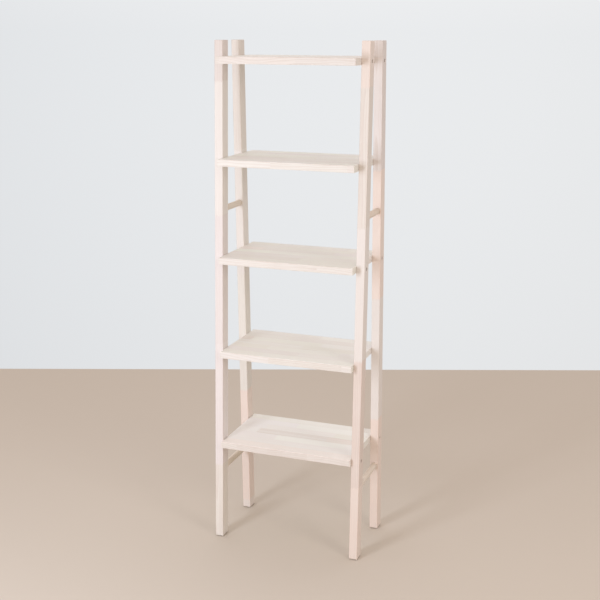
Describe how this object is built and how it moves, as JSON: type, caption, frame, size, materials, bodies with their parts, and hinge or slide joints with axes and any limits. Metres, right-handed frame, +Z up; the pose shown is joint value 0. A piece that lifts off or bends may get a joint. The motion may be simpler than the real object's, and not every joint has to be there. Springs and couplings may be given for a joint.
{
  "type": "ladder shelf",
  "caption": "Tall narrow open shelf: laminated boards held between two A-shaped wooden ladders with round rungs, recessed connector bolts and round floor glides.",
  "frame": {"origin": "on the floor, under the middle of the shelf", "axes": "+Z up, front towards -Y, boards lengthways along X, with +X to the right seen from the front"},
  "size_m": [0.55, 0.312, 1.8],
  "materials": {
    "board_wood": "pale whitewashed laminated board, matt oiled",
    "leg_wood": "pale whitewashed solid wood, matt oiled",
    "rung_wood": "pale turned wood, matt oiled",
    "pin_wood": "raw beech",
    "bolt_steel": "dark burnished",
    "nut_steel": "zinc plated",
    "glide_plastic": "matt moulded"
  },
  "bodies": {
    "root": {"top_shelf": "board_wood", "second_shelf": "board_wood", "middle_shelf": "board_wood", "fourth_shelf": "board_wood", "bottom_shelf": "board_wood", "front_left_leg": "leg_wood", "front_right_leg": "leg_wood", "rear_left_leg": "leg_wood", "rear_right_leg": "leg_wood", "upper_left_rung": "rung_wood", "upper_right_rung": "rung_wood", "lower_left_rung": "rung_wood", "lower_right_rung": "rung_wood", "top_shelf_front_left_bolt": "bolt_steel", "top_shelf_front_left_barrel_nut": "nut_steel", "top_shelf_front_right_bolt": "bolt_steel", "top_shelf_front_right_barrel_nut": "nut_steel", "top_shelf_rear_left_bolt": "bolt_steel", "top_shelf_rear_left_barrel_nut": "nut_steel", "top_shelf_rear_right_bolt": "bolt_steel", "top_shelf_rear_right_barrel_nut": "nut_steel", "middle_shelf_front_left_bolt": "bolt_steel", "middle_shelf_front_left_barrel_nut": "nut_steel", "middle_shelf_front_right_bolt": "bolt_steel", "middle_shelf_front_right_barrel_nut": "nut_steel", "middle_shelf_rear_left_bolt": "bolt_steel", "middle_shelf_rear_left_barrel_nut": "nut_steel", "middle_shelf_rear_right_bolt": "bolt_steel", "middle_shelf_rear_right_barrel_nut": "nut_steel", "bottom_shelf_front_left_bolt": "bolt_steel", "bottom_shelf_front_left_barrel_nut": "nut_steel", "bottom_shelf_front_right_bolt": "bolt_steel", "bottom_shelf_front_right_barrel_nut": "nut_steel", "bottom_shelf_rear_left_bolt": "bolt_steel", "bottom_shelf_rear_left_barrel_nut": "nut_steel", "bottom_shelf_rear_right_bolt": "bolt_steel", "bottom_shelf_rear_right_barrel_nut": "nut_steel", "second_shelf_front_left_pin": "pin_wood", "second_shelf_front_right_pin": "pin_wood", "second_shelf_rear_left_pin": "pin_wood", "second_shelf_rear_right_pin": "pin_wood", "fourth_shelf_front_left_pin": "pin_wood", "fourth_shelf_front_right_pin": "pin_wood", "fourth_shelf_rear_left_pin": "pin_wood", "fourth_shelf_rear_right_pin": "pin_wood", "front_left_floor_glide": "glide_plastic", "front_right_floor_glide": "glide_plastic", "rear_left_floor_glide": "glide_plastic", "rear_right_floor_glide": "glide_plastic"}
  },
  "joints": []
}
